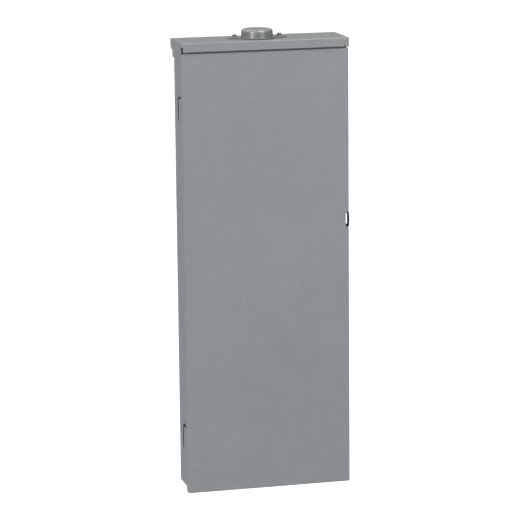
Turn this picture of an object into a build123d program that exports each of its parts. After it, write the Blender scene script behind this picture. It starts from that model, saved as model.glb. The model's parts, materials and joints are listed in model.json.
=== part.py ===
from build123d import *
from math import cos, radians, sin
import os

# Outdoor residential load center: rainproof sheet-steel enclosure, hinged door, dead front,
# bus interior, main breaker and branch breakers.
#
# Millimetres. +Z is up, +X is to the right as seen from the front, +Y points into the wall.
# The back of the enclosure lies on y = 0, and the origin is the centre of its four wall holes.

os.makedirs("parts", exist_ok=True)

# ---------------------------------------------------------------- driving dimensions

# Sheet metal
STEEL = 1.5
BEND = 2.5  # outer bend radius

# Enclosure wrapper: back and two sides in one bent sheet, with front lips
BOX_WIDTH = 359.4
BOX_DEPTH = 100.0
BOX_BOTTOM = -495.9
BOX_TOP = 497.0
LIP = 10.0
WALL_HOLE_R = 4.0
WALL_HOLES_X = 254.0
WALL_HOLES_Z = 838.2

# Rain hood
HOOD_WIDTH = 374.0
HOOD_DEPTH = 113.4
HOOD_TOP = 500.0
HOOD_FLANGE_BOTTOM = 477.5
HOOD_LIP_BOTTOM = 480.5

# Door: a pan that wraps the front of the box
DOOR_WIDTH = 371.3
DOOR_FRONT = -109.4
DOOR_BACK = -91.6
DOOR_BOTTOM = -500.5
DOOR_TOP = 476.8
DOOR_BEND = 2.0
NOTCH_EDGE = 178.3
NOTCH_GAP = 0.7  # from the staple to the notch, above and below
NOTCH_CORNER_R = 7.0

# Door hinges: barrel in a slot of the left side
HINGE_X = -180.95
HINGE_Y = -53.5
HINGE_MIDDLES = {"upper": 350.5, "lower": -383.0}
HINGE_HEIGHT = 48.0
BARREL_R = 3.2
HINGE_PIN_R = 1.5
RUNNING_GAP = 0.05  # radial clearance of every turning shaft
SLOT_HEIGHT = 56.0
SLOT_WIDTH = 9.0

# Door catch, and the height of the bead that it snaps behind
CATCH_Z = 140.0

# Hub opening and its closing cap
HUB_X = -6.3
HUB_Y = -57.0
HUB_HOLE_R = 32.0
HUB_SCREW_REACH = 50.5
HUB_SCREW_R = 2.4
CAP_R = 34.9
CAP_TOP = 520.4
CAP_SHOULDER_R = 7.0

# Padlock staple
STAPLE_X = 184.2
STAPLE_FRONT = -107.0
STAPLE_REACH_BACK = -70.0
STAPLE_LEG_Z = (81.8, 112.4)
STAPLE_ROD_R = 2.7

# Interior layout
PAN_FRONT = -16.5
PAN_HALF_WIDTH = 106.0
PAN_Z = (-352.0, 385.0)
BUS_Y = (-29.0, -26.0)
PITCH = 25.4
ROWS = 20
FIRST_ROW_Z = 175.0
NEUTRAL_X = 97.0
BAR_WIDTH = 10.0
NEUTRAL_Y = (-34.0, -24.0)
TERMINAL_PITCH = 12.7

# Dead front
COVER_FRONT = -85.2
COVER_STEEL = 1.2
COVER_HALF_WIDTH = 166.0
COVER_HALF_HEIGHT = 486.0
COVER_SCREW_X = 157.0
COVER_SCREW_Z = (-440.0, 0.0, 440.0)

# Branch breakers: distances are measured outwards from the centre line
BREAKER_BACK = -30.0
BREAKER_FACE = -80.0
ESCUTCHEON_FACE = -88.0
BREAKER_INNER = 2.0
BREAKER_OUTER = 78.0
ESCUTCHEON = (22.0, 60.0)
HANDLE_PIVOT = (41.0, -76.0)
HANDLE_LEAN = 20.0
HANDLE_HALF = 4.6
TERMINAL_REACH = 71.0

# Each branch breaker: side of the panel, first row and number of poles
BREAKERS = {
    "breaker_1_left": (-1, 0, 2),
    "breaker_2_right": (1, 0, 2),
    "breaker_3_left": (-1, 2, 1),
    "breaker_4_right": (1, 2, 1),
    "breaker_5_left": (-1, 3, 1),
    "breaker_6_right": (1, 3, 1),
}

# Main breaker
MAIN_HALF_WIDTH = 55.0
MAIN_Z = (205.0, 345.0)
MAIN_SPLIT = -58.0
MAIN_FACE = -78.0
MAIN_RAISED_FACE = -90.0
MAIN_RAISED_HALF = 42.0
MAIN_RAISED_Z = (240.0, 330.0)
MAIN_PIVOT = (-74.0, 285.0)
MAIN_LEAN = 22.0
MAIN_SHELF_FRONT = -45.0
LUG_X = 27.0
LUG_Z = (347.0, 373.0)
LUG_BORE_R = 8.0
NEUTRAL_LUG_Z = (66.0, 92.0)


# ---------------------------------------------------------------- helpers


def block(x, y, z, mode=Mode.ADD):
    """A box between two limits along each axis, added to the part in progress."""
    with Locations(((x[0] + x[1]) / 2, (y[0] + y[1]) / 2, (z[0] + z[1]) / 2)):
        Box(abs(x[1] - x[0]), abs(y[1] - y[0]), abs(z[1] - z[0]), mode=mode)


def rod(at, radius, length, along, mode=Mode.ADD):
    """A cylinder centred on a point, lying along one axis."""
    turn = {"x": (0, 90, 0), "y": (90, 0, 0), "z": (0, 0, 0)}[along]
    with Locations(at):
        Cylinder(radius, length, rotation=turn, mode=mode)


def save(piece, label):
    """Label a finished piece and write its STEP file."""
    piece.part.label = label
    export_step(piece.part, f"parts/{label}.step")


def row_z(row):
    """Height of the middle of a breaker row."""
    return FIRST_ROW_Z - PITCH * row


def sides(inner, outer, side):
    """The x limits of something between two distances from the centre line."""
    return (side * inner, side * outer)


# ---------------------------------------------------------------- enclosure


SIDE_OUT = BOX_WIDTH / 2
SIDE_IN = SIDE_OUT - STEEL
BOX_MIDDLE = (0, -BOX_DEPTH / 2)

with BuildPart() as enclosure_box:
    with BuildSketch(Plane.XY.offset(BOX_BOTTOM)):
        with Locations(BOX_MIDDLE):
            RectangleRounded(BOX_WIDTH, BOX_DEPTH, BEND)
            RectangleRounded(2 * SIDE_IN, BOX_DEPTH - 2 * STEEL, BEND - STEEL, mode=Mode.SUBTRACT)
        with Locations((0, -BOX_DEPTH)):
            Rectangle(2 * (SIDE_OUT - LIP), 3 * STEEL, mode=Mode.SUBTRACT)
    extrude(amount=BOX_TOP - BOX_BOTTOM)
    # wall holes
    for x in (-WALL_HOLES_X / 2, WALL_HOLES_X / 2):
        for z in (-WALL_HOLES_Z / 2, WALL_HOLES_Z / 2):
            rod((x, 0, z), WALL_HOLE_R, 4 * STEEL, "y", Mode.SUBTRACT)
    # hinge slots in the left side
    for z in HINGE_MIDDLES.values():
        slot_y = (HINGE_Y - SLOT_WIDTH / 2, HINGE_Y + SLOT_WIDTH / 2)
        slot_z = (z - SLOT_HEIGHT / 2, z + SLOT_HEIGHT / 2)
        block((-SIDE_OUT - 1, -SIDE_IN + 1), slot_y, slot_z, Mode.SUBTRACT)
    # holes for the staple's legs in the right side
    for z in STAPLE_LEG_Z:
        rod((SIDE_OUT, STAPLE_REACH_BACK, z), STAPLE_ROD_R + 0.1, 6 * STEEL, "x", Mode.SUBTRACT)
    # bead that the door catch snaps behind
    rod((SIDE_OUT - 1.3, -97.7, CATCH_Z), 1.6, 20.0, "z")
save(enclosure_box, "enclosure_box")

# Bottom end wall: a shallow tray, with ring grooves that mark its knockouts
TRAY_HEIGHT = 16.0
TRAY_CORNER_R = 2.0
GROOVE = 0.6
GROOVE_DEPTH = 0.5
KNOCKOUTS = {
    (0.0, -50.0): (31.0, 25.0, 19.0),
    (-80.0, -50.0): (22.0, 17.0, 11.0),
    (80.0, -50.0): (22.0, 17.0, 11.0),
    (-135.0, -32.0): (14.0, 11.0),
    (135.0, -32.0): (14.0, 11.0),
    (-135.0, -68.0): (14.0, 11.0),
    (135.0, -68.0): (14.0, 11.0),
}
with BuildPart() as bottom_endwall:
    block((-SIDE_IN, SIDE_IN), (-BOX_DEPTH + STEEL, -STEEL), (BOX_BOTTOM, BOX_BOTTOM + TRAY_HEIGHT))
    fillet(bottom_endwall.edges().filter_by(Axis.Z), TRAY_CORNER_R)
    offset(amount=-STEEL, openings=bottom_endwall.faces().sort_by(Axis.Z)[-1])
    with BuildSketch(Plane.XY.offset(BOX_BOTTOM)):
        for centre, ring_radii in KNOCKOUTS.items():
            with Locations(centre):
                for ring_r in ring_radii:
                    Circle(ring_r)
                    Circle(ring_r - GROOVE, mode=Mode.SUBTRACT)
    extrude(amount=GROOVE_DEPTH, mode=Mode.SUBTRACT)
save(bottom_endwall, "bottom_endwall")

# Top end wall: plate with hemmed side flanges outside the box and a front flange over the lips
FLANGE_OUT = 182.9
FLANGE_Y = (-90.0, 0)
FLANGE_BOTTOM = 458.5
HEM_TOP = 475.0
FRONT_FLANGE_Y = (-BOX_DEPTH - STEEL, -BOX_DEPTH)
TOP_PLATE = (BOX_TOP, BOX_TOP + STEEL)
with BuildPart() as top_endwall:
    block((-FLANGE_OUT, FLANGE_OUT), (-BOX_DEPTH - STEEL, 0), TOP_PLATE)
    block((-SIDE_IN, SIDE_IN), FRONT_FLANGE_Y, (FLANGE_BOTTOM, BOX_TOP))
    block((SIDE_IN, FLANGE_OUT), FRONT_FLANGE_Y, (HEM_TOP, BOX_TOP))
    for side in (-1, 1):
        block(sides(FLANGE_OUT - STEEL, FLANGE_OUT, side), FLANGE_Y, (FLANGE_BOTTOM, BOX_TOP))
        block(sides(SIDE_OUT, FLANGE_OUT, side), FLANGE_Y, (FLANGE_BOTTOM, FLANGE_BOTTOM + STEEL))
        block(sides(SIDE_OUT, SIDE_OUT + STEEL, side), FLANGE_Y, (FLANGE_BOTTOM + STEEL, HEM_TOP))
    rod((HUB_X, HUB_Y, BOX_TOP), HUB_HOLE_R, 6 * STEEL, "z", Mode.SUBTRACT)
    for reach in (-HUB_SCREW_REACH, HUB_SCREW_REACH):
        rod((HUB_X + reach, HUB_Y, BOX_TOP), HUB_SCREW_R + 0.1, 6 * STEEL, "z", Mode.SUBTRACT)
    hem_edges = top_endwall.edges().filter_by(Axis.Y).group_by(Axis.Z)[0].sort_by(Axis.X)
    fillet([hem_edges[0], hem_edges[-1]], 1.3)
save(top_endwall, "top_endwall")

# Rain hood: one folded sheet, open under the front lip; its right flange wraps the corner
HOOD_HALF = HOOD_WIDTH / 2
LIP_LEFT = -184.2
LIP_RIGHT = 176.2
LEFT_FLANGE_FRONT = -103.0
CORNER_SLOT_TOP = 491.5
CORNER_SLIT = 0.5
TAB_SETBACK = 0.5
TAB_SLANT = ((LIP_RIGHT - 1, 484.0), (181.0, 480.6), (190, 479.0))
BACK_CUT = 7.5
with BuildPart() as rain_hood:
    block((-HOOD_HALF, HOOD_HALF), (-HOOD_DEPTH, 0), (HOOD_FLANGE_BOTTOM, HOOD_TOP))
    front_posts = rain_hood.edges().filter_by(Axis.Z).group_by(Axis.Y)[0].sort_by(Axis.X)
    fillet(front_posts[0], BEND)
    right_post = rain_hood.edges().filter_by(Axis.Z).group_by(Axis.Y)[0].sort_by(Axis.X)[-1]
    fillet(right_post, 2 * BEND)
    top_face = rain_hood.faces().sort_by(Axis.Z)[-1]
    fillet([e for e in top_face.edges() if e.center().Y < -0.1], BEND - 0.1)
    hood_faces = rain_hood.faces()
    offset(amount=-STEEL, openings=[hood_faces.sort_by(Axis.Z)[0], hood_faces.sort_by(Axis.Y)[-1]])
    # the front lip stops short of the side flanges' lower edge
    lip_y = (-HOOD_DEPTH - 1, -HOOD_DEPTH + STEEL + 1)
    block((-200, LIP_RIGHT + 0.4), lip_y, (HOOD_FLANGE_BOTTOM - 1, HOOD_LIP_BOTTOM), Mode.SUBTRACT)
    # open corner at the left, slit and set-back corner tab at the right
    corner_z = (HOOD_FLANGE_BOTTOM - 1, CORNER_SLOT_TOP)
    block((-200, LIP_LEFT), (-HOOD_DEPTH - 1, LEFT_FLANGE_FRONT), corner_z, Mode.SUBTRACT)
    block((LIP_RIGHT, LIP_RIGHT + CORNER_SLIT), lip_y, corner_z, Mode.SUBTRACT)
    block((LIP_RIGHT, 190), (-HOOD_DEPTH - 1, -HOOD_DEPTH + TAB_SETBACK), corner_z, Mode.SUBTRACT)
    # lower tip of the corner tab and back corners of the side flanges are cut off at a slant
    with BuildSketch(Plane.XZ.offset(HOOD_DEPTH + 1)):
        with BuildLine():
            tip = (LIP_RIGHT - 1, HOOD_FLANGE_BOTTOM - 1)
            Polyline(tip, *TAB_SLANT, (TAB_SLANT[-1][0], tip[1]), tip)
        make_face()
    extrude(amount=-12.0, mode=Mode.SUBTRACT)
    with BuildSketch(Plane.YZ.offset(-HOOD_HALF - 1)):
        with BuildLine():
            heel = (1, HOOD_FLANGE_BOTTOM - 1)
            slant_end = (1, HOOD_FLANGE_BOTTOM + BACK_CUT + 1)
            Polyline(heel, (-BACK_CUT - 1, HOOD_FLANGE_BOTTOM - 1), slant_end, heel)
        make_face()
    extrude(amount=HOOD_WIDTH + 2, mode=Mode.SUBTRACT)
    rod((HUB_X, HUB_Y, HOOD_TOP), HUB_HOLE_R + 0.5, 6 * STEEL, "z", Mode.SUBTRACT)
    for reach in (-HUB_SCREW_REACH, HUB_SCREW_REACH):
        rod((HUB_X + reach, HUB_Y, HOOD_TOP), HUB_SCREW_R + 0.1, 6 * STEEL, "z", Mode.SUBTRACT)
save(rain_hood, "rain_hood")

# ---------------------------------------------------------------- hub opening


GASKET_TOP = HOOD_TOP + 1.2
PLATE_TOP = GASKET_TOP + 1.6
HUB_CENTRE = (HUB_X, HUB_Y)
HUB_SCREW_SPOTS = [(HUB_X - HUB_SCREW_REACH, HUB_Y), (HUB_X + HUB_SCREW_REACH, HUB_Y)]


def hub_outline(round_r, ear_length, ear_width, hole_r):
    """Round plate with two ears, drawn on the sketch in progress."""
    with Locations(HUB_CENTRE):
        Circle(round_r)
        SlotOverall(ear_length, ear_width)
        Circle(hole_r, mode=Mode.SUBTRACT)
    with Locations(*HUB_SCREW_SPOTS):
        Circle(HUB_SCREW_R + 0.1, mode=Mode.SUBTRACT)


with BuildPart() as hub_gasket:
    with BuildSketch(Plane.XY.offset(HOOD_TOP)):
        hub_outline(CAP_R + 2.0, 130.0, 16.0, HUB_HOLE_R - 1.0)
    extrude(amount=GASKET_TOP - HOOD_TOP)
save(hub_gasket, "hub_gasket")

with BuildPart() as hub_plate:
    with BuildSketch(Plane.XY.offset(GASKET_TOP)):
        hub_outline(CAP_R + 3.5, 134.0, 18.0, HUB_HOLE_R - 3.0)
    extrude(amount=PLATE_TOP - GASKET_TOP)
    fillet(hub_plate.faces().sort_by(Axis.Z)[-1].outer_wire().edges(), 0.7)
save(hub_plate, "hub_plate")

with BuildPart() as hub_cap:
    with BuildSketch(Plane.XY.offset(PLATE_TOP)):
        with Locations(HUB_CENTRE):
            Circle(CAP_R)
    extrude(amount=CAP_TOP - PLATE_TOP, taper=1.5)
    fillet(hub_cap.faces().sort_by(Axis.Z)[-1].edges(), CAP_SHOULDER_R)
    offset(amount=-1.8, openings=hub_cap.faces().sort_by(Axis.Z)[0])
save(hub_cap, "hub_cap")

SCREW_TIP = 487.0
WASHER = 1.4
WASHER_R = 6.2
HEX_R = 4.9
HEX_HEIGHT = 4.8
with BuildPart() as hub_screws:
    for spot in HUB_SCREW_SPOTS:
        rod((*spot, (PLATE_TOP + SCREW_TIP) / 2), HUB_SCREW_R, PLATE_TOP - SCREW_TIP, "z")
        rod((*spot, PLATE_TOP + WASHER / 2), WASHER_R, WASHER, "z")
    # slotted hex head: the slot stops short of the head's foot
    with BuildSketch(Plane.XY.offset(PLATE_TOP + WASHER)):
        with Locations(*HUB_SCREW_SPOTS):
            RegularPolygon(HEX_R, 6)
            Rectangle(2 * HEX_R, 1.2, mode=Mode.SUBTRACT)
    extrude(amount=HEX_HEIGHT)
    with BuildSketch(Plane.XY.offset(PLATE_TOP + WASHER)):
        with Locations(*HUB_SCREW_SPOTS):
            RegularPolygon(HEX_R, 6)
    extrude(amount=HEX_HEIGHT - 1.4)
save(hub_screws, "hub_screws")

# ---------------------------------------------------------------- padlock staple


LEG_LOW, LEG_HIGH = STAPLE_LEG_Z
STAPLE_START = SIDE_IN - 4.0
staple_corners = [
    (STAPLE_START, STAPLE_REACH_BACK, LEG_HIGH),
    (STAPLE_X, STAPLE_REACH_BACK, LEG_HIGH),
    (STAPLE_X, STAPLE_FRONT, LEG_HIGH),
    (STAPLE_X, STAPLE_FRONT, LEG_LOW),
    (STAPLE_X, STAPLE_REACH_BACK, LEG_LOW),
    (STAPLE_START, STAPLE_REACH_BACK, LEG_LOW),
]
with BuildPart() as padlock_staple:
    with BuildLine():
        FilletPolyline(*staple_corners, radius=[4.0, 7.0, 6.0, 4.0])
    with BuildSketch(Plane(origin=staple_corners[0], z_dir=(1, 0, 0))):
        Circle(STAPLE_ROD_R)
    sweep()
save(padlock_staple, "padlock_staple")

# ---------------------------------------------------------------- hinges


MIDDLE_KNUCKLE = 18.0
KNUCKLE_GAP = 0.4
LEAF_PLATE_Y = (-46.0, -22.0)
LEAF_ARM_Y = (-56.0, -40.0)
LEAF_NECK_Y = (-56.0, -51.0)
STRAP_Y = (-104.5, -60.0)
PIN_HEAD = 1.2
PIN_HEAD_R = 2.6
STRAP_X = (HINGE_X - BARREL_R, HINGE_X - BARREL_R + STEEL)

for place, middle in HINGE_MIDDLES.items():
    low = middle - HINGE_HEIGHT / 2
    high = middle + HINGE_HEIGHT / 2
    core = (middle - MIDDLE_KNUCKLE / 2, middle + MIDDLE_KNUCKLE / 2)
    axis_at = (HINGE_X, HINGE_Y, middle)

    # box side: leaf on the inner face, with one knuckle that reaches out through the slot
    with BuildPart() as hinge_leaf:
        block((-SIDE_IN, -SIDE_IN + STEEL), LEAF_PLATE_Y, (low, high))
        block((-SIDE_IN, -SIDE_IN + STEEL), LEAF_ARM_Y, core)
        block((-SIDE_IN - STEEL, -SIDE_IN + STEEL), LEAF_NECK_Y, core)
        rod(axis_at, BARREL_R, MIDDLE_KNUCKLE, "z")
        rod(axis_at, HINGE_PIN_R + RUNNING_GAP, HINGE_HEIGHT, "z", Mode.SUBTRACT)
    save(hinge_leaf, f"hinge_leaf_{place}")

    # door side: strap on the door's flange, with a knuckle above and one below
    with BuildPart() as door_hinge:
        block(STRAP_X, STRAP_Y, (low, high))
        for ends in ((low, core[0] - KNUCKLE_GAP), (core[1] + KNUCKLE_GAP, high)):
            block(STRAP_X, (STRAP_Y[1], HINGE_Y), ends)
            rod((HINGE_X, HINGE_Y, sum(ends) / 2), BARREL_R, ends[1] - ends[0], "z")
        rod(axis_at, HINGE_PIN_R + RUNNING_GAP, 2 * HINGE_HEIGHT, "z", Mode.SUBTRACT)
    save(door_hinge, f"door_hinge_{place}")

    with BuildPart() as hinge_pin:
        rod((HINGE_X, HINGE_Y, middle), HINGE_PIN_R, HINGE_HEIGHT + 1.6, "z")
        rod((HINGE_X, HINGE_Y, high + 0.8 + PIN_HEAD / 2), PIN_HEAD_R, PIN_HEAD, "z")
    save(hinge_pin, f"hinge_pin_{place}")

# ---------------------------------------------------------------- door


DOOR_HALF = DOOR_WIDTH / 2
TOP_FLANGE_BACK = -103.6
SIDE_FLANGE_TOP = 473.5
with BuildPart() as door_panel:
    block((-DOOR_HALF, DOOR_HALF), (DOOR_FRONT, DOOR_BACK), (DOOR_BOTTOM, DOOR_TOP))
    pan_corners = door_panel.edges().filter_by(Axis.Y)
    fillet(pan_corners + door_panel.faces().sort_by(Axis.Y)[0].edges(), DOOR_BEND)
    block(
        (-DOOR_HALF + STEEL, DOOR_HALF - STEEL),
        (DOOR_FRONT + STEEL, DOOR_BACK + 1),
        (DOOR_BOTTOM + STEEL, DOOR_TOP - STEEL),
        Mode.SUBTRACT,
    )
    # the top flange is shallow, and the side flanges stop below the hood
    block((-200, 200), (TOP_FLANGE_BACK, DOOR_BACK + 1), (SIDE_FLANGE_TOP, DOOR_TOP + 1), Mode.SUBTRACT)
    # rounded notch for the padlock staple
    with BuildSketch(Plane.XZ.offset(-DOOR_FRONT + 1)):
        notch_height = LEG_HIGH - LEG_LOW + 2 * (STAPLE_ROD_R + NOTCH_GAP)
        with Locations(((NOTCH_EDGE + 200) / 2, (LEG_LOW + LEG_HIGH) / 2)):
            RectangleRounded(200 - NOTCH_EDGE, notch_height, NOTCH_CORNER_R)
    extrude(amount=-40.0, mode=Mode.SUBTRACT)
save(door_panel, "door_panel")

CARD_SIZE = (190.0, 260.0)
CARD_MIDDLE_Z = 60.0
CARD = 0.5
with BuildPart() as circuit_directory:
    with BuildSketch(Plane.XZ.offset(-DOOR_FRONT - STEEL)):
        with Locations((0, CARD_MIDDLE_Z)):
            RectangleRounded(*CARD_SIZE, 3.0)
    extrude(amount=-CARD)
save(circuit_directory, "circuit_directory")

# Door catch: a leaf spring on a rivet, at the inner face of the door's right flange
CATCH_PIVOT = (182.95, -103.5)
CATCH_LENGTH = 18.0
LEAF = 0.8
LEAF_OUT = 183.35
LEAF_IN = 181.5
LEAF_STEP_Y = (-100.8, -100.0)
RIVET_R = 1.4
RIVET_HEAD = 0.7
FLANGE_INNER = DOOR_HALF - STEEL
with BuildPart() as door_catch_spring:
    leaf_z = (CATCH_Z - CATCH_LENGTH / 2, CATCH_Z + CATCH_LENGTH / 2)
    block((LEAF_OUT - LEAF, LEAF_OUT), (-107.0, LEAF_STEP_Y[1]), leaf_z)
    block((LEAF_IN, LEAF_OUT), LEAF_STEP_Y, leaf_z)
    block((LEAF_IN, LEAF_IN + LEAF), (LEAF_STEP_Y[0], -92.5), leaf_z)
    rod((LEAF_IN + 0.3, -95.0, CATCH_Z), 1.1, CATCH_LENGTH, "z")
    # rib that the leaf rocks on
    rod((*CATCH_PIVOT, CATCH_Z), 0.7, CATCH_LENGTH, "z")
    rod((*CATCH_PIVOT, CATCH_Z), RIVET_R + 0.3, 3.0, "x", Mode.SUBTRACT)
save(door_catch_spring, "door_catch_spring")

with BuildPart() as door_catch_rivet:
    rivet_end = 181.4
    rivet_middle = (FLANGE_INNER + rivet_end) / 2
    rod((rivet_middle, CATCH_PIVOT[1], CATCH_Z), RIVET_R, FLANGE_INNER - rivet_end, "x")
    rod((rivet_end + RIVET_HEAD / 2, CATCH_PIVOT[1], CATCH_Z), 2.6, RIVET_HEAD, "x")
save(door_catch_rivet, "door_catch_rivet")

# ---------------------------------------------------------------- interior frame


with BuildPart() as mounting_pan:
    with BuildSketch(Plane.XY.offset(PAN_Z[0])):
        with Locations((0, PAN_FRONT + STEEL / 2)):
            Rectangle(2 * PAN_HALF_WIDTH, STEEL)
        for side in (-1, 1):
            with Locations((side * (PAN_HALF_WIDTH - STEEL / 2), (PAN_FRONT - STEEL) / 2)):
                Rectangle(STEEL, -PAN_FRONT - STEEL)
            with Locations((side * (PAN_HALF_WIDTH + 5.25), -1.5 * STEEL)):
                Rectangle(13.5, STEEL)
    extrude(amount=PAN_Z[1] - PAN_Z[0])
    pan_screw_spots = [(x, z) for x in (-112.0, 112.0) for z in (-320.0, 0.0, 350.0)]
    for x, z in pan_screw_spots:
        rod((x, -1.5 * STEEL, z), 2.1, 2 * STEEL, "y", Mode.SUBTRACT)
    rod((-NEUTRAL_X, PAN_FRONT, -312.0), 2.6, 4 * STEEL, "y", Mode.SUBTRACT)
save(mounting_pan, "mounting_pan")

with BuildPart() as pan_screws:
    for x, z in pan_screw_spots:
        rod((x, -2 * STEEL + 0.6, z), 2.0, 1.2, "y")
        rod((x, -2 * STEEL - 1.2, z), 4.2, 2.4, "y")
        block((x - 3.5, x + 3.5), (-6.0, -4.4), (z - 0.5, z + 0.5), Mode.SUBTRACT)
save(pan_screws, "pan_screws")

INTERIOR_Z = (-328.0, 200.0)
INSULATOR_STEP_Y = -22.0
INSULATOR_HALF = (45.0, 30.0)  # back plate, raised middle
BARRIER_HALF = 1.8
RIB_HALF = 1.2
with BuildPart() as bus_insulator:
    plate_half, raised_half = INSULATOR_HALF
    block((-plate_half, plate_half), (INSULATOR_STEP_Y, PAN_FRONT), INTERIOR_Z)
    block((-raised_half, raised_half), (BUS_Y[1], INSULATOR_STEP_Y), INTERIOR_Z)
    # barrier between the two bus bars, and a rib between rows
    block((-BARRIER_HALF, BARRIER_HALF), (BUS_Y[0] - 1.5, BUS_Y[1]), INTERIOR_Z)
    for row in range(ROWS + 1):
        z = row_z(row) + PITCH / 2
        for side in (-1, 1):
            rib_x = sides(raised_half, plate_half - 1, side)
            block(rib_x, (BUS_Y[1], INSULATOR_STEP_Y), (z - RIB_HALF, z + RIB_HALF))
save(bus_insulator, "bus_insulator")

BUS_X = (6.0, 22.0)
BUS_Z = (-322.0, 232.0)
BUS_BOLT = (14.0, 222.0)
BUS_BOLT_R = 3.0
for bar_name, side in (("bus_bar_a", -1), ("bus_bar_b", 1)):
    with BuildPart() as bus_bar:
        block(sides(*BUS_X, side), BUS_Y, BUS_Z)
        rod((side * BUS_BOLT[0], BUS_Y[0], BUS_BOLT[1]), BUS_BOLT_R + 0.1, 10, "y", Mode.SUBTRACT)
    save(bus_bar, bar_name)

# Plug-on stabs: one per row, on each bus bar in turn, reaching across to both columns
STAB_HALF = 0.8
STAB_FOOT = (8.0, 20.0)
STAB_REACH = 16.0
STAB_Y = (-44.0, -32.5)
with BuildPart() as plug_on_stabs:
    for row in range(ROWS):
        side = 1 if row % 2 else -1
        stab_z = (row_z(row) - STAB_HALF, row_z(row) + STAB_HALF)
        block(sides(*STAB_FOOT, side), (STAB_Y[1], BUS_Y[0]), stab_z)
        block(sides(-STAB_REACH, STAB_FOOT[1], side), STAB_Y, stab_z)
save(plug_on_stabs, "plug_on_stabs")

RAIL_X = 72.0
RAIL_FOOT = 62.0
RAIL_HOOK = 77.0
RAIL_Z = (INTERIOR_Z[0], 192.0)
for rail_name, side in (("breaker_rail_left", -1), ("breaker_rail_right", 1)):
    with BuildPart() as breaker_rail:
        block(sides(RAIL_X - STEEL, RAIL_X, side), (BREAKER_BACK, PAN_FRONT), RAIL_Z)
        block(sides(RAIL_X, RAIL_HOOK, side), (BREAKER_BACK, BREAKER_BACK + STEEL), RAIL_Z)
        block(sides(RAIL_FOOT, RAIL_X - STEEL, side), (PAN_FRONT - STEEL, PAN_FRONT), RAIL_Z)
    save(breaker_rail, rail_name)

# ---------------------------------------------------------------- neutral and ground bars


def bar_with_terminals(centre_x, y, z, terminals):
    """A terminal bar with a cross hole and a tapped front hole for each conductor."""
    half = BAR_WIDTH / 2
    middle = (y[0] + y[1]) / 2
    block((centre_x - half, centre_x + half), y, z)
    for terminal in terminals:
        rod((centre_x, middle, terminal), 2.8, BAR_WIDTH + 2, "x", Mode.SUBTRACT)
        rod((centre_x, y[0], terminal), 2.4, middle - y[0] + 4, "y", Mode.SUBTRACT)


def terminal_screw(x, front, z):
    """A slotted binding screw whose head sits on a bar's front face."""
    rod((x, front + 1.2, z), 2.3, 2.4, "y")
    rod((x, front - 1.4, z), 3.7, 2.8, "y")
    block((x - 4, x + 4), (front - 3, front - 1.6), (z - 0.5, z + 0.5), Mode.SUBTRACT)


NEUTRAL_TERMINALS = [48.0 - TERMINAL_PITCH * step for step in range(27)]
GROUND_TERMINALS = [-160.0 - TERMINAL_PITCH * step for step in range(13)]
GROUND_X = 135.0
GROUND_Y = (-13.5, -STEEL)
STRAP_Z = (-345.0, -331.0)
BOND_Z = -312.0

with BuildPart() as neutral_bar_left:
    bar_with_terminals(-NEUTRAL_X, NEUTRAL_Y, (-347, 97), NEUTRAL_TERMINALS)
    rod((-NEUTRAL_X, NEUTRAL_Y[0], BOND_Z), 2.6, 30, "y", Mode.SUBTRACT)
save(neutral_bar_left, "neutral_bar_left")

with BuildPart() as neutral_bar_right:
    bar_with_terminals(NEUTRAL_X, NEUTRAL_Y, (-347, 60), NEUTRAL_TERMINALS)
save(neutral_bar_right, "neutral_bar_right")

with BuildPart() as neutral_standoffs:
    for side in (-1, 1):
        for z in (-338.0, -140.0, 50.0):
            block(sides(91, 103, side), (NEUTRAL_Y[1], PAN_FRONT), (z - 9, z + 9))
save(neutral_standoffs, "neutral_standoffs")

with BuildPart() as neutral_cross_strap:
    block((-103, 103), (NEUTRAL_Y[0] - 2.5, NEUTRAL_Y[0]), STRAP_Z)
    fillet(neutral_cross_strap.edges().filter_by(Axis.Y), 3.0)
save(neutral_cross_strap, "neutral_cross_strap")

with BuildPart() as neutral_terminal_screws:
    for side in (-1, 1):
        for terminal in NEUTRAL_TERMINALS:
            terminal_screw(side * NEUTRAL_X, NEUTRAL_Y[0], terminal)
save(neutral_terminal_screws, "neutral_terminal_screws")

with BuildPart() as bonding_screw:
    rod((-NEUTRAL_X, (NEUTRAL_Y[0] - 12) / 2, BOND_Z), 2.5, -12 - NEUTRAL_Y[0], "y")
    rod((-NEUTRAL_X, NEUTRAL_Y[0] - 1.8, BOND_Z), 4.6, 3.6, "y")
    slot_x = (-NEUTRAL_X - 5, -NEUTRAL_X + 5)
    block(slot_x, (NEUTRAL_Y[0] - 4, NEUTRAL_Y[0] - 2), (BOND_Z - 0.6, BOND_Z + 0.6), Mode.SUBTRACT)
save(bonding_screw, "bonding_screw")

with BuildPart() as ground_bar:
    bar_with_terminals(GROUND_X, GROUND_Y, (-330, -150), GROUND_TERMINALS)
save(ground_bar, "ground_bar")

with BuildPart() as ground_bar_screws:
    for terminal in GROUND_TERMINALS:
        terminal_screw(GROUND_X, GROUND_Y[0], terminal)
save(ground_bar_screws, "ground_bar_screws")

# ---------------------------------------------------------------- lugs


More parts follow.
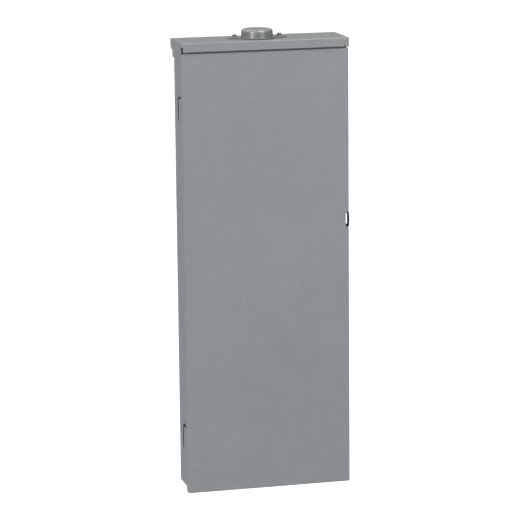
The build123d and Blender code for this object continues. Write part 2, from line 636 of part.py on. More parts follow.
LUG_HALF = 10.5
LUG_DEPTH = 28.0
LUG_AXIS = 15.0
SET_SCREW_R = 5.0
LUGS = {
    "line_lug_a": (-LUG_X, MAIN_SHELF_FRONT, LUG_Z),
    "line_lug_b": (LUG_X, MAIN_SHELF_FRONT, LUG_Z),
    "neutral_lug": (-NEUTRAL_X, NEUTRAL_Y[0], NEUTRAL_LUG_Z),
}
for lug_name, (x, back, z) in LUGS.items():
    middle = (z[0] + z[1]) / 2
    with BuildPart() as lug:
        block((x - LUG_HALF, x + LUG_HALF), (back - LUG_DEPTH, back), z)
        fillet(lug.edges().filter_by(Axis.Z).group_by(Axis.Y)[0], 3.0)
        rod((x, back - LUG_AXIS, middle), LUG_BORE_R, z[1] - z[0] + 2, "z", Mode.SUBTRACT)
        rod((x, back - LUG_DEPTH, middle), SET_SCREW_R + 0.1, 2 * (LUG_DEPTH - LUG_AXIS), "y",
            Mode.SUBTRACT)
    save(lug, lug_name)

# The set screws are backed off until their tips are level with the wire bores
SOCKET_R = 2.9
with BuildPart() as lug_set_screws:
    for x, back, z in LUGS.values():
        tip = back - LUG_AXIS - LUG_BORE_R + 0.2
        rod((x, tip - 5.0, (z[0] + z[1]) / 2), SET_SCREW_R, 10.0, "y")
    for x, back, z in LUGS.values():
        tip = back - LUG_AXIS - LUG_BORE_R + 0.2
        with BuildSketch(Plane.XZ.offset(10.0 - tip)):
            with Locations((x, (z[0] + z[1]) / 2)):
                RegularPolygon(SOCKET_R, 6)
        extrude(amount=-5.0, mode=Mode.SUBTRACT)
save(lug_set_screws, "lug_set_screws")

# ---------------------------------------------------------------- main breaker


MAIN_X = (-MAIN_HALF_WIDTH, MAIN_HALF_WIDTH)
MAIN_PIVOT_Y, MAIN_PIVOT_Z = MAIN_PIVOT
MAIN_HUB_R = 9.0
MAIN_TRUNNION_R = 2.0
SHELF_Z = (MAIN_Z[1], 376.0)
BOLT_WELL_R = 6.2
with BuildPart() as main_breaker_base:
    block(MAIN_X, (MAIN_SPLIT, BREAKER_BACK), MAIN_Z)
    block(MAIN_X, (MAIN_SHELF_FRONT, BREAKER_BACK), SHELF_Z)
    block((-2, 2), (-76, MAIN_SHELF_FRONT), SHELF_Z)
    for side in (-1, 1):
        wall_x = sides(MAIN_HALF_WIDTH - 2.5, MAIN_HALF_WIDTH, side)
        block(wall_x, (-66, MAIN_SHELF_FRONT), SHELF_Z)
        bolt_x, bolt_z = side * BUS_BOLT[0], BUS_BOLT[1]
        rod((bolt_x, -40, bolt_z), BUS_BOLT_R + 0.1, 40, "y", Mode.SUBTRACT)
        rod((bolt_x, -50, bolt_z), BOLT_WELL_R, 28, "y", Mode.SUBTRACT)
save(main_breaker_base, "main_breaker_base")

with BuildPart() as main_breaker_cover:
    block(MAIN_X, (MAIN_FACE, MAIN_SPLIT), MAIN_Z)
    block((-MAIN_RAISED_HALF, MAIN_RAISED_HALF), (MAIN_RAISED_FACE, MAIN_FACE), MAIN_RAISED_Z)
    face_edges = main_breaker_cover.faces().sort_by(Axis.Y)[0].edges()
    fillet(face_edges, 1.5)
    block((-14.3, 14.3), (MAIN_RAISED_FACE - 1, MAIN_PIVOT_Y + MAIN_HUB_R + 0.5),
          (MAIN_PIVOT_Z - 13.5, MAIN_PIVOT_Z + 13.5), Mode.SUBTRACT)
    rod((0, *MAIN_PIVOT), MAIN_TRUNNION_R + RUNNING_GAP, 37.0, "x", Mode.SUBTRACT)
save(main_breaker_cover, "main_breaker_cover")

with BuildPart() as main_bus_bolts:
    for side in (-1, 1):
        rod((side * BUS_BOLT[0], -31.5, BUS_BOLT[1]), BUS_BOLT_R, 10.0, "y")
        rod((side * BUS_BOLT[0], -38.6, BUS_BOLT[1]), 5.5, 4.2, "y")
save(main_bus_bolts, "main_bus_bolts")

COVER_SCREW_SPOTS = [(x, z) for x in (-48.0, 48.0) for z in (213.0, 337.0)]
with BuildPart() as main_cover_screws:
    for x, z in COVER_SCREW_SPOTS:
        rod((x, MAIN_FACE - 0.9, z), 3.2, 1.8, "y")
        block((x - 4, x + 4), (MAIN_FACE - 2, MAIN_FACE - 0.9), (z - 0.5, z + 0.5), Mode.SUBTRACT)
save(main_cover_screws, "main_cover_screws")

# The handle leans up when on, and swings down about its trunnions to switch off
lean = radians(MAIN_LEAN)
MAIN_LEVER = 27.0
with BuildPart() as main_breaker_handle:
    lever_plane = Plane(
        origin=(-13.6, MAIN_PIVOT_Y, MAIN_PIVOT_Z),
        x_dir=(0, sin(lean), cos(lean)),
        z_dir=(1, 0, 0),
    )
    with BuildSketch(lever_plane):
        Circle(MAIN_HUB_R)
        with BuildLine():
            Polyline((-5.2, 0), (5.2, 0), (3.9, MAIN_LEVER), (-3.9, MAIN_LEVER), (-5.2, 0))
        make_face()
    extrude(amount=27.2)
    rod((0, *MAIN_PIVOT), MAIN_TRUNNION_R, 35.0, "x")
save(main_breaker_handle, "main_breaker_handle")

# ---------------------------------------------------------------- branch breakers


PIVOT_REACH, PIVOT_Y = HANDLE_PIVOT
HUB_R = 6.0
TRUNNION_R = 1.5
LEVER = 24.0
TERMINAL_FRONT = -68.0


def breaker_body(side, row, poles):
    """Case of a plug-on breaker: stab slots behind, one handle slot per pole in front."""
    centres = [row_z(row + pole) for pole in range(poles)]
    middle = sum(centres) / poles
    half = PITCH / 2 * poles
    block(sides(BREAKER_INNER, BREAKER_OUTER, side), (BREAKER_FACE, BREAKER_BACK),
          (middle - half + 0.3, middle + half - 0.3))
    block(sides(62, BREAKER_OUTER + 1, side), (BREAKER_FACE - 1, TERMINAL_FRONT),
          (middle - half, middle + half), Mode.SUBTRACT)
    block(sides(*ESCUTCHEON, side), (ESCUTCHEON_FACE, BREAKER_FACE),
          (middle - half + 1.1, middle + half - 1.1))
    for z in centres:
        block(sides(0, 20, side), (-46, BREAKER_BACK), (z - 2, z + 2), Mode.SUBTRACT)
        block(sides(PIVOT_REACH - 10, PIVOT_REACH + 10, side),
              (ESCUTCHEON_FACE - 1, PIVOT_Y + HUB_R + 0.5), (z - 5, z + 5), Mode.SUBTRACT)
        rod((side * PIVOT_REACH, PIVOT_Y, z), TRUNNION_R + RUNNING_GAP, 14.8, "z", Mode.SUBTRACT)
        rod((side * BREAKER_OUTER, -50, z), 3.2, 22, "x", Mode.SUBTRACT)
        rod((side * TERMINAL_REACH, TERMINAL_FRONT, z), 4.2, 26, "y", Mode.SUBTRACT)


def breaker_handle(side, row, poles):
    """Toggle of a breaker, leaning to the centre line when on; two poles share a tie."""
    angle = radians(HANDLE_LEAN)
    along = (-side * sin(angle), -cos(angle))
    centres = [row_z(row + pole) for pole in range(poles)]
    for z in centres:
        lever_plane = Plane(
            origin=(side * PIVOT_REACH, PIVOT_Y, z - HANDLE_HALF),
            x_dir=(along[1], -along[0], 0),
            z_dir=(0, 0, 1),
        )
        with BuildSketch(lever_plane) as lever:
            Circle(HUB_R)
            with BuildLine():
                Polyline((-4.6, 0), (4.6, 0), (3.4, LEVER), (-3.4, LEVER), (-4.6, 0))
            make_face()
        extrude(lever.sketch, amount=2 * HANDLE_HALF)
        rod((side * PIVOT_REACH, PIVOT_Y, z), TRUNNION_R, 14.0, "z")
    if poles > 1:
        tie_plane = Plane(
            origin=(side * PIVOT_REACH, PIVOT_Y, centres[-1]),
            x_dir=(along[1], -along[0], 0),
            z_dir=(0, 0, 1),
        )
        with BuildSketch(tie_plane) as tie:
            with Locations((0, LEVER - 4)):
                Rectangle(5.6, 6.0)
        extrude(tie.sketch, amount=centres[0] - centres[-1])


for name, (side, row, poles) in BREAKERS.items():
    with BuildPart() as body:
        breaker_body(side, row, poles)
    save(body, name)
    with BuildPart() as handle:
        breaker_handle(side, row, poles)
    save(handle, name.replace("breaker", "handle"))

with BuildPart() as branch_terminal_screws:
    for side, row, poles in BREAKERS.values():
        for pole in range(poles):
            x = side * TERMINAL_REACH
            z = row_z(row + pole)
            rod((x, TERMINAL_FRONT + 6.5, z), 4.0, 9.0, "y")
            block((x - 5, x + 5), (TERMINAL_FRONT + 1, TERMINAL_FRONT + 3.4), (z - 0.6, z + 0.6),
                  Mode.SUBTRACT)
save(branch_terminal_screws, "branch_terminal_screws")

# ---------------------------------------------------------------- dead front


OPENING_GAP = 0.6
COVER_BACK = COVER_FRONT + COVER_STEEL
COVER_RIM_BACK = -76.0
TWIST_OUT = (39.2, 24.0)

with BuildPart() as cover_brackets:
    for side in (-1, 1):
        for z in COVER_SCREW_Z:
            block(sides(150, SIDE_IN, side), (COVER_BACK, COVER_BACK + STEEL), (z - 12, z + 12))
            block(sides(SIDE_IN - STEEL, SIDE_IN, side), (COVER_BACK, -60), (z - 12, z + 12))
            rod((side * COVER_SCREW_X, COVER_BACK, z), 2.1, 6, "y", Mode.SUBTRACT)
save(cover_brackets, "cover_brackets")


def breaker_window(side, row, poles, grow):
    """Outline of one breaker space in the dead front, drawn on the sketch in progress."""
    reach = side * (ESCUTCHEON[0] + ESCUTCHEON[1]) / 2
    middle = row_z(row) - PITCH * (poles - 1) / 2
    width = ESCUTCHEON[1] - ESCUTCHEON[0] + 2 * grow
    with Locations((reach, middle)):
        Rectangle(width, PITCH * poles - 2.2 + 2 * grow)


used_spaces = {
    (side, row + pole) for side, row, poles in BREAKERS.values() for pole in range(poles)
}
with BuildPart() as dead_front:
    cover_x = (-COVER_HALF_WIDTH, COVER_HALF_WIDTH)
    block(cover_x, (COVER_FRONT, COVER_BACK), (-COVER_HALF_HEIGHT, COVER_HALF_HEIGHT))
    for end in (-1, 1):
        rim_z = sides(COVER_HALF_HEIGHT - COVER_STEEL, COVER_HALF_HEIGHT, end)
        block(cover_x, (COVER_FRONT, COVER_RIM_BACK), rim_z)
    fillet(dead_front.edges().filter_by(Axis.Y).group_by(SortBy.LENGTH)[0], 0.5)
    # windows for the main breaker and for each breaker that is fitted
    with BuildSketch(Plane.XZ.offset(-COVER_FRONT + 1)):
        with Locations((0, sum(MAIN_RAISED_Z) / 2)):
            raised_height = MAIN_RAISED_Z[1] - MAIN_RAISED_Z[0]
            Rectangle(2 * (MAIN_RAISED_HALF + OPENING_GAP), raised_height + 2 * OPENING_GAP)
        for side, row, poles in BREAKERS.values():
            breaker_window(side, row, poles, OPENING_GAP)
    extrude(amount=-4, mode=Mode.SUBTRACT)
    # outlines of the twist-outs over the spaces that are not used
    with BuildSketch(Plane.XZ.offset(-COVER_FRONT)):
        for side in (-1, 1):
            for row in range(ROWS):
                if (side, row) not in used_spaces:
                    with Locations((side * PIVOT_REACH, row_z(row))):
                        Rectangle(TWIST_OUT[0], TWIST_OUT[1])
                        Rectangle(TWIST_OUT[0] - 2 * GROOVE, TWIST_OUT[1] - 2 * GROOVE, mode=Mode.SUBTRACT)
    extrude(amount=-GROOVE_DEPTH, mode=Mode.SUBTRACT)
    for side in (-1, 1):
        for z in COVER_SCREW_Z:
            rod((side * COVER_SCREW_X, COVER_FRONT, z), 2.3, 6, "y", Mode.SUBTRACT)
save(dead_front, "dead_front")

with BuildPart() as dead_front_screws:
    for side in (-1, 1):
        for z in COVER_SCREW_Z:
            x = side * COVER_SCREW_X
            rod((x, COVER_FRONT + 5.0, z), 2.0, 10.0, "y")
            rod((x, COVER_FRONT - 1.3, z), 4.4, 2.6, "y")
            block((x - 5, x + 5), (COVER_FRONT - 3, COVER_FRONT - 1.4), (z - 0.6, z + 0.6),
                  Mode.SUBTRACT)
save(dead_front_screws, "dead_front_screws")
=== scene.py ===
import json
import math

import bmesh
import bpy
from mathutils import Matrix, Vector


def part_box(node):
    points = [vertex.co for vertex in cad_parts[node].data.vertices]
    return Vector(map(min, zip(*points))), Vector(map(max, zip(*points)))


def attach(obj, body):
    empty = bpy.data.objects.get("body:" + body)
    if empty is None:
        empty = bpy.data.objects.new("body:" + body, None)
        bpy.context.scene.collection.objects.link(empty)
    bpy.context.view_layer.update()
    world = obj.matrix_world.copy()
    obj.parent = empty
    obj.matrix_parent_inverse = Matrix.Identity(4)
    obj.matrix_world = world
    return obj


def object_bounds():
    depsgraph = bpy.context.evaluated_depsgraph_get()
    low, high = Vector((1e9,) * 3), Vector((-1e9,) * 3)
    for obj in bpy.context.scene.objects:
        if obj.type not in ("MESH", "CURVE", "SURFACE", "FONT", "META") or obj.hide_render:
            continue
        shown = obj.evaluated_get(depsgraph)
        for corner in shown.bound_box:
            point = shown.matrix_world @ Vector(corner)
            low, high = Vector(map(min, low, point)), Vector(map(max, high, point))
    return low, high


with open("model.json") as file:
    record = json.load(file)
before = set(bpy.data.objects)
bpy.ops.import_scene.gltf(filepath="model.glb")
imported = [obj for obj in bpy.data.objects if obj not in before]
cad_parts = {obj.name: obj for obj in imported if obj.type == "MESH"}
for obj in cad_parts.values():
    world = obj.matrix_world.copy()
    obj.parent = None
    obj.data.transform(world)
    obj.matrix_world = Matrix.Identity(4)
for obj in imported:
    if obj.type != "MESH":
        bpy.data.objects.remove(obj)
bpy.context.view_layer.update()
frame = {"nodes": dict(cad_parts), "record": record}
NODES = frame["nodes"]
MM = 0.001


# ---------------------------------------------------------------- node helpers


def new_material(name):
    """An empty node material with its Principled shader and its node tree."""
    material = bpy.data.materials.new(name)
    material.use_nodes = True
    tree = material.node_tree
    return material, tree, tree.nodes["Principled BSDF"]


def object_place(tree):
    """Position on the object, in metres, which moves with the piece."""
    return tree.nodes.new("ShaderNodeTexCoord").outputs["Object"]


def noise(tree, place, scale, detail=2.0, roughness=0.5):
    """Noise of one scale, in cells per metre."""
    node = tree.nodes.new("ShaderNodeTexNoise")
    node.inputs["Scale"].default_value = scale
    node.inputs["Detail"].default_value = detail
    node.inputs["Roughness"].default_value = roughness
    tree.links.new(place, node.inputs["Vector"])
    return node.outputs["Fac"]


def spread(tree, value, low, high, to_low, to_high):
    """Maps a value from one range to another."""
    node = tree.nodes.new("ShaderNodeMapRange")
    for socket, number in zip(("From Min", "From Max", "To Min", "To Max"), (low, high, to_low, to_high)):
        node.inputs[socket].default_value = number
    tree.links.new(value, node.inputs["Value"])
    return node.outputs["Result"]


def blend_colours(tree, factor, first, second):
    """Mixes two colours, each a tuple or a socket."""
    node = tree.nodes.new("ShaderNodeMix")
    node.data_type = "RGBA"
    tree.links.new(factor, node.inputs["Factor"])
    for socket, colour in ((node.inputs["A"], first), (node.inputs["B"], second)):
        if isinstance(colour, tuple):
            socket.default_value = (*colour, 1.0)
        else:
            tree.links.new(colour, socket)
    return node.outputs["Result"]


def add_bump(tree, shader, height, strength, distance):
    """Feeds a height into the shader's normal."""
    node = tree.nodes.new("ShaderNodeBump")
    node.inputs["Strength"].default_value = strength
    node.inputs["Distance"].default_value = distance
    tree.links.new(height, node.inputs["Height"])
    tree.links.new(node.outputs["Normal"], shader.inputs["Normal"])


def stretched(tree, place, factors):
    """The place scaled differently along each axis, for brushed or drawn grain."""
    node = tree.nodes.new("ShaderNodeMapping")
    node.inputs["Scale"].default_value = factors
    tree.links.new(place, node.inputs["Vector"])
    return node.outputs["Vector"]


# ---------------------------------------------------------------- materials


def paint(name, colour, roughness, specular=0.5):
    """Baked enamel on sheet steel: fine orange peel, faint cloudiness and a little dust."""
    material, tree, shader = new_material(name)
    place = object_place(tree)
    darker = tuple(0.955 * channel for channel in colour)
    dusty = tuple(channel + 0.05 for channel in colour)
    cloud = spread(tree, noise(tree, place, 4.0, 3.0), 0.3, 0.7, 0.0, 1.0)
    toned = blend_colours(tree, cloud, darker, colour)
    dust = spread(tree, noise(tree, place, 60.0, 4.0, 0.65), 0.5, 0.8, 0.0, 0.35)
    tree.links.new(blend_colours(tree, dust, toned, dusty), shader.inputs["Base Color"])
    rough = spread(tree, noise(tree, place, 14.0, 4.0), 0.3, 0.7, roughness - 0.03, roughness + 0.05)
    tree.links.new(rough, shader.inputs["Roughness"])
    shader.inputs["Specular IOR Level"].default_value = specular
    add_bump(tree, shader, noise(tree, place, 700.0, 2.0), 0.1, 0.0002)
    return material


def glazed(material, weight, roughness):
    """Adds a clear gloss over a finish."""
    shader = material.node_tree.nodes["Principled BSDF"]
    shader.inputs["Coat Weight"].default_value = weight
    shader.inputs["Coat Roughness"].default_value = roughness
    return material


def bare_behind(material, strap_end):
    """Leaves a painted hinge near-black and matt behind the end of its strap, where its barrel turns: the
    barrel is unpainted metal, and its near-black colour is painted shade for the shadowed hinge slit.
    """
    tree = material.node_tree
    shader = tree.nodes["Principled BSDF"]
    painted = shader.inputs["Base Color"].links[0].from_socket
    place = tree.nodes.new("ShaderNodeSeparateXYZ")
    tree.links.new(object_place(tree), place.inputs["Vector"])
    barrel_shade_mask = spread(tree, place.outputs["Y"], strap_end - MM, strap_end, 0.0, 1.0)
    # painted shade: the near-black barrel colour stands in for the shadow in the hinge slit
    tree.links.new(blend_colours(tree, barrel_shade_mask, painted, (0.02, 0.02, 0.021)), shader.inputs["Base Color"])
    rough = tree.nodes.new("ShaderNodeMath")
    rough.operation = "MAXIMUM"
    tree.links.new(shader.inputs["Roughness"].links[0].from_socket, rough.inputs[0])
    tree.links.new(barrel_shade_mask, rough.inputs[1])
    tree.links.new(rough.outputs["Value"], shader.inputs["Roughness"])
    return material


def metal(name, colour, roughness, grain=(1.0, 1.0, 12.0), tarnish=None):
    """Plated or drawn metal with a directional grain."""
    material, tree, shader = new_material(name)
    place = object_place(tree)
    lines = noise(tree, stretched(tree, place, grain), 260.0, 3.0)
    cloud = noise(tree, place, 45.0, 3.0)
    second = tarnish or tuple(0.8 * channel for channel in colour)
    toned = blend_colours(tree, spread(tree, cloud, 0.35, 0.75, 0.0, 1.0), colour, second)
    tree.links.new(toned, shader.inputs["Base Color"])
    shader.inputs["Metallic"].default_value = 1.0
    rough = spread(tree, lines, 0.3, 0.7, roughness - 0.07, roughness + 0.1)
    tree.links.new(rough, shader.inputs["Roughness"])
    add_bump(tree, shader, lines, 0.15, 0.0001)
    return material


def plastic(name, colour, roughness, texture_scale=1400.0, texture=0.2):
    """Moulded plastic with a fine spark-eroded texture."""
    material, tree, shader = new_material(name)
    place = object_place(tree)
    cloud = noise(tree, place, 30.0, 2.0)
    lighter = tuple(min(1.0, 1.25 * channel + 0.004) for channel in colour)
    toned = blend_colours(tree, spread(tree, cloud, 0.35, 0.7, 0.0, 1.0), colour, lighter)
    tree.links.new(toned, shader.inputs["Base Color"])
    rough = spread(tree, cloud, 0.3, 0.7, roughness - 0.05, roughness + 0.05)
    tree.links.new(rough, shader.inputs["Roughness"])
    add_bump(tree, shader, noise(tree, place, texture_scale, 1.0), texture, 0.0001)
    return material


def card(name):
    """Uncoated card with paper fibre."""
    material, tree, shader = new_material(name)
    place = object_place(tree)
    fibre = noise(tree, stretched(tree, place, (1.0, 1.0, 3.0)), 350.0, 4.0)
    tone = spread(tree, fibre, 0.3, 0.7, 0.0, 1.0)
    toned = blend_colours(tree, tone, (0.46, 0.46, 0.43), (0.53, 0.53, 0.5))
    tree.links.new(toned, shader.inputs["Base Color"])
    shader.inputs["Roughness"].default_value = 0.85
    add_bump(tree, shader, fibre, 0.2, 0.0001)
    return material


GRAY = (0.143, 0.155, 0.167)
STRAP_END = -62.0 * MM
MATERIALS = {
    "gray_paint": paint("gray_enamel", GRAY, 0.32),
    "inner_paint": paint("inner_enamel", (0.175, 0.189, 0.2), 0.36),
    "gasket_rubber": plastic("gasket_rubber", (0.02, 0.02, 0.02), 0.75, 900.0, 0.4),
    "dark_zinc": metal("dark_zinc", (0.05, 0.05, 0.054), 0.42),
    "tinned_aluminium": metal("tinned_aluminium", (0.72, 0.73, 0.74), 0.32),
    "insulator_plastic": plastic("insulator_plastic", (0.018, 0.018, 0.02), 0.5),
    "breaker_plastic": plastic("breaker_plastic", (0.015, 0.015, 0.017), 0.42),
    "handle_plastic": plastic("handle_plastic", (0.011, 0.011, 0.012), 0.33, 2000.0, 0.1),
    "green_screw": metal("green_screw", (0.02, 0.2, 0.06), 0.35),
    "directory_paper": card("directory_card"),
    "zinc_steel": metal("zinc_steel", (0.6, 0.61, 0.62), 0.3, tarnish=(0.56, 0.55, 0.48)),
}

for subpart in frame["record"]["subparts"]:
    node = NODES[subpart["node"]]
    node.data.materials.clear()
    node.data.materials.append(MATERIALS[subpart["material_slot"]])

# the closing cap is glossier and darker than the sheet metal
NODES["hub_cap"].data.materials[0] = glazed(paint("cap_enamel", (0.108, 0.113, 0.12), 0.36, 0.9), 0.6, 0.27)
# the hinges are painted with the sheet metal up to the end of their straps; behind that their unpainted
# barrels are near-black, as painted shade for the shadowed hinge slit
hinge_paint_and_shade = bare_behind(paint("hinge_enamel_and_painted_shade", GRAY, 0.32), STRAP_END)
for place in ("upper", "lower"):
    NODES[f"door_hinge_{place}"].data.materials[0] = hinge_paint_and_shade
# the closing cap's screws have dulled
dulled = metal("dulled_zinc", (0.3, 0.31, 0.32), 0.36, tarnish=(0.12, 0.12, 0.12))
NODES["hub_screws"].data.materials[0] = dulled


# ---------------------------------------------------------------- softened edges


def soften(names, width):
    """Rounds the sharp edges of CAD nodes by a small radius, as moulding and tumbling leave them."""
    for name in names:
        weld = NODES[name].modifiers.new("weld", "WELD")
        weld.merge_threshold = 0.01 * MM
        bevel = NODES[name].modifiers.new("edge", "BEVEL")
        bevel.width = width
        bevel.segments = 2
        bevel.limit_method = "ANGLE"
        bevel.angle_limit = math.radians(40)


BRANCH_BREAKERS = sorted(name for name in NODES if name.startswith("breaker_") and "rail" not in name)
BRANCH_HANDLES = sorted(name for name in NODES if name.startswith("handle_"))
soften(BRANCH_BREAKERS, 0.35 * MM)
soften(BRANCH_HANDLES + ["main_breaker_handle"], 0.5 * MM)
soften(["main_breaker_base", "main_breaker_cover"], 0.6 * MM)
soften(["line_lug_a", "line_lug_b", "neutral_lug"], 0.5 * MM)
soften(["neutral_bar_left", "neutral_bar_right", "ground_bar", "lug_set_screws"], 0.3 * MM)
soften(["bus_bar_a", "bus_bar_b", "plug_on_stabs"], 0.3 * MM)

# ---------------------------------------------------------------- printed marks and figures


def ink(name, colour):
    """Screen-printed ink, slightly uneven in coverage."""
    material, tree, shader = new_material(name)
    patchy = spread(tree, noise(tree, object_place(tree), 800.0, 3.0), 0.35, 0.7, 0.0, 1.0)
    thin = tuple(0.85 * channel for channel in colour)
    tree.links.new(blend_colours(tree, patchy, colour, thin), shader.inputs["Base Color"])
    shader.inputs["Roughness"].default_value = 0.55
    return material


WHITE_INK = ink("white_ink", (0.78, 0.78, 0.76))
BLACK_INK = ink("black_ink", (0.02, 0.02, 0.022))
PRINT = 0.06 * MM  # thickness of print

FACING_FRONT = Matrix.Rotation(math.pi / 2, 4, "X")
FACING_BACK = Matrix.Rotation(math.pi, 4, "Z") @ FACING_FRONT


def add_piece(name, mesh, body, material):
    """Puts a finished mesh on a body with its slot and material."""
    piece = bpy.data.objects.new(name, mesh)
    bpy.context.scene.collection.objects.link(piece)
    mesh.materials.append(material)
    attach(piece, body)


def add_figures(name, figures, size, body, material):
    """One piece made of many small figures: (text, place of its middle, matrix that turns it)."""
    whole = bmesh.new()
    for text, place, facing in figures:
        curve = bpy.data.curves.new("figure", "FONT")
        curve.body = text
        curve.size = size
        curve.extrude = PRINT / 2
        curve.resolution_u = 4
        curve.align_x = "CENTER"
        curve.align_y = "CENTER"
        writer = bpy.data.objects.new("figure", curve)
        mesh = bpy.data.meshes.new_from_object(writer)
        mesh.transform(Matrix.Translation(place) @ facing)
        whole.from_mesh(mesh)
        bpy.data.objects.remove(writer)
        bpy.data.curves.remove(curve)
        bpy.data.meshes.remove(mesh)
    bmesh.ops.remove_doubles(whole, verts=whole.verts, dist=0.001 * MM)
    mesh = bpy.data.meshes.new(name)
    whole.to_mesh(mesh)
    whole.free()
    add_piece(name, mesh, body, material)


def add_ruling(name, lines, face_y, body, material):
    """One piece made of thin printed strips: each line gives its x and z limits."""
    whole = bmesh.new()
    for (x0, x1), (z0, z1) in lines:
        middle = Matrix.Translation(((x0 + x1) / 2, face_y, (z0 + z1) / 2))
        size = Matrix.Diagonal((x1 - x0, PRINT, z1 - z0, 1.0))
        bmesh.ops.create_cube(whole, size=1.0, matrix=middle @ size)
    mesh = bpy.data.meshes.new(name)
    whole.to_mesh(mesh)
    whole.free()
    add_piece(name, mesh, body, material)


PITCH = 25.4 * MM
ROWS = 20
ROW_OF_BREAKER_3 = 2
COVER_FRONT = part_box("dead_front")[0].y
MAIN_PIVOT_Z = 285.0 * MM
MAIN_MARK_REACH = 28.0 * MM
MAIN_MARK_SIZE = 11.0 * MM
ON_MARK_REACH = 26.3 * MM
OFF_MARK_REACH = 55.7 * MM
BRANCH_MARK_SIZE = 4.5 * MM
NUMBER_REACH = 69.0 * MM
NUMBER_SIZE = 8.0 * MM
DIRECTORY_SIZE = 6.5 * MM
third_low, third_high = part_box("breaker_3_left")
ENCLOSURE = "enclosure"


def row_z(row):
    """Height of a breaker row, counted from the top."""
    return (third_low.z + third_high.z) / 2 - (row - ROW_OF_BREAKER_3) * PITCH


def circuit_numbers():
    """Circuit numbers beside the breaker spaces, odd on the left and even on the right."""
    front = COVER_FRONT - PRINT / 2
    figures = []
    for row in range(ROWS):
        for side, number in ((-1, 2 * row + 1), (1, 2 * row + 2)):
            figures.append((str(number), (side * NUMBER_REACH, front, row_z(row)), FACING_FRONT))
    add_figures("circuit_numbers", figures, NUMBER_SIZE, ENCLOSURE, BLACK_INK)


circuit_numbers()


def main_breaker_marks():
    """On and off marks above and below the main handle."""
    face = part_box("main_breaker_cover")[0].y - PRINT / 2
    figures = []
    for text, way in (("I", 1), ("O", -1)):
        figures.append((text, (0, face, MAIN_PIVOT_Z + way * MAIN_MARK_REACH), FACING_FRONT))
    add_figures("main_breaker_marks", figures, MAIN_MARK_SIZE, ENCLOSURE, WHITE_INK)


main_breaker_marks()


def breaker_marks():
    """On and off marks on the face of each branch breaker."""
    figures = []
    for name in BRANCH_BREAKERS:
        low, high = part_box(name)
        side = 1 if high.x + low.x > 0 else -1
        poles = round((high.z - low.z) / PITCH)
        for pole in range(poles):
            z = (low.z + high.z) / 2 + (pole - (poles - 1) / 2) * PITCH
            for text, reach in (("I", ON_MARK_REACH), ("O", OFF_MARK_REACH)):
                figures.append((text, (side * reach, low.y - PRINT / 2, z), FACING_FRONT))
    add_figures("breaker_marks", figures, BRANCH_MARK_SIZE, ENCLOSURE, WHITE_INK)


breaker_marks()


def directory_print():
    """Ruled lines and circuit numbers on the card inside the door."""
    low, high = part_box("circuit_directory")
    face = high.y + PRINT / 2
    margin = 8 * MM
    left, right = low.x + margin, high.x - margin
    top, bottom = high.z - 2 * margin, low.z + margin
    step = (top - bottom) / ROWS
    thin = 0.35 * MM
    lines = []
    for row in range(ROWS + 1):
        z = top - row * step
        lines.append(((left, right), (z - thin / 2, z + thin / 2)))
    number_cell = 12 * MM
    middle = (left + right) / 2
    for x in (left, left + number_cell, middle, middle + number_cell, right):
        lines.append(((x - thin / 2, x + thin / 2), (bottom, top)))
    add_ruling("directory_ruling", lines, face, "door", BLACK_INK)
    figures = []
    for row in range(ROWS):
        z = top - (row + 0.5) * step
        for number, x in ((2 * row + 1, middle), (2 * row + 2, left)):
            figures.append((str(number), (x + number_cell / 2, face, z), FACING_BACK))
    add_figures("directory_numbers", figures, DIRECTORY_SIZE, "door", BLACK_INK)


directory_print()

# ---------------------------------------------------------------- camera

CAMERA_PLACE = Vector((-1.4270, -5.6911, 1.1541))
CAMERA_YAW = math.radians(14.17)
CAMERA_PITCH = math.radians(11.17)
CAMERA_ROLL = math.radians(-0.578)
LENS = 185.3

camera_data = bpy.data.cameras.new("camera")
camera_data.lens = LENS
camera_data.sensor_width = 36.0
camera_data.clip_end = 200.0
camera = bpy.data.objects.new("camera", camera_data)
turn = Matrix.Rotation(-CAMERA_YAW, 4, "Z") @ Matrix.Rotation(math.pi / 2 - CAMERA_PITCH, 4, "X")
camera.matrix_world = Matrix.Translation(CAMERA_PLACE) @ turn @ Matrix.Rotation(CAMERA_ROLL, 4, "Z")
bpy.context.scene.collection.objects.link(camera)
bpy.context.scene.camera = camera

# ---------------------------------------------------------------- stage and light


def floor_material():
    """Matt white studio floor with a trace of unevenness."""
    material, tree, shader = new_material("studio_floor")
    place = object_place(tree)
    shade = spread(tree, noise(tree, place, 0.8), 0.3, 0.7, 0.0, 1.0)
    tree.links.new(blend_colours(tree, shade, (0.93, 0.93, 0.93), (0.95, 0.95, 0.95)),
                   shader.inputs["Base Color"])
    shader.inputs["Roughness"].default_value = 0.9
    return material


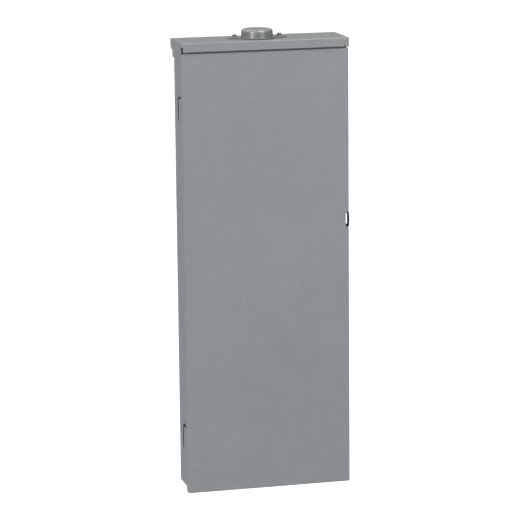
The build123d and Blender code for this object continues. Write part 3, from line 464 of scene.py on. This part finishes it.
FLOOR_DROP = 0.35
FLOOR_HALF = 60.0
floor_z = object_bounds()[0].z - FLOOR_DROP
floor_mesh = bpy.data.meshes.new("floor")
floor_corners = [(x, y, floor_z) for x, y in ((-1, -1), (1, -1), (1, 1), (-1, 1))]
floor_mesh.from_pydata([(x * FLOOR_HALF, y * FLOOR_HALF, z) for x, y, z in floor_corners], [], [(0, 1, 2, 3)])
floor = bpy.data.objects.new("floor", floor_mesh)
floor_mesh.materials.append(floor_material())
bpy.context.scene.collection.objects.link(floor)
# reflections see the darker studio beyond the floor
floor.visible_glossy = False


def softbox(name, azimuth, elevation, distance, width, height, power):
    """A rectangular area light that faces the object; azimuth 0 is in front, positive to the right."""
    light_data = bpy.data.lights.new(name, "AREA")
    light_data.shape = "RECTANGLE"
    light_data.size = width
    light_data.size_y = height
    light_data.energy = power
    light = bpy.data.objects.new(name, light_data)
    a, e = math.radians(azimuth), math.radians(elevation)
    away = Vector((math.sin(a) * math.cos(e), -math.cos(a) * math.cos(e), math.sin(e)))
    light.location = away * distance
    light.rotation_mode = "QUATERNION"
    light.rotation_quaternion = away.to_track_quat("Z", "Y")
    bpy.context.scene.collection.objects.link(light)


softbox("key_left", -48, 16, 4.5, 0.8, 2.0, 88)
softbox("key_right", 25, 16, 4.5, 0.6, 2.0, 40)
softbox("overhead", 40, 60, 4.0, 0.5, 1.6, 65)


def studio_world():
    """A white studio: bright and faintly warm overhead, dimmer at the horizon and on the right."""
    world = bpy.data.worlds.new("studio")
    world.use_nodes = True
    tree = world.node_tree
    direction = tree.nodes.new("ShaderNodeTexCoord").outputs["Generated"]
    height = tree.nodes.new("ShaderNodeSeparateXYZ")
    tree.links.new(direction, height.inputs["Vector"])
    upward = spread(tree, height.outputs["Z"], 0.15, 0.85, 0.0, 1.0)
    sky = blend_colours(tree, upward, (0.28, 0.28, 0.29), (1.62, 1.6, 1.54))
    background = tree.nodes["Background"]
    tree.links.new(sky, background.inputs["Color"])
    sideways = spread(tree, height.outputs["X"], -1.0, 1.0, 1.55, 0.5)
    tree.links.new(sideways, background.inputs["Strength"])
    return world


bpy.context.scene.world = studio_world()
bpy.context.scene.view_settings.view_transform = "Standard"
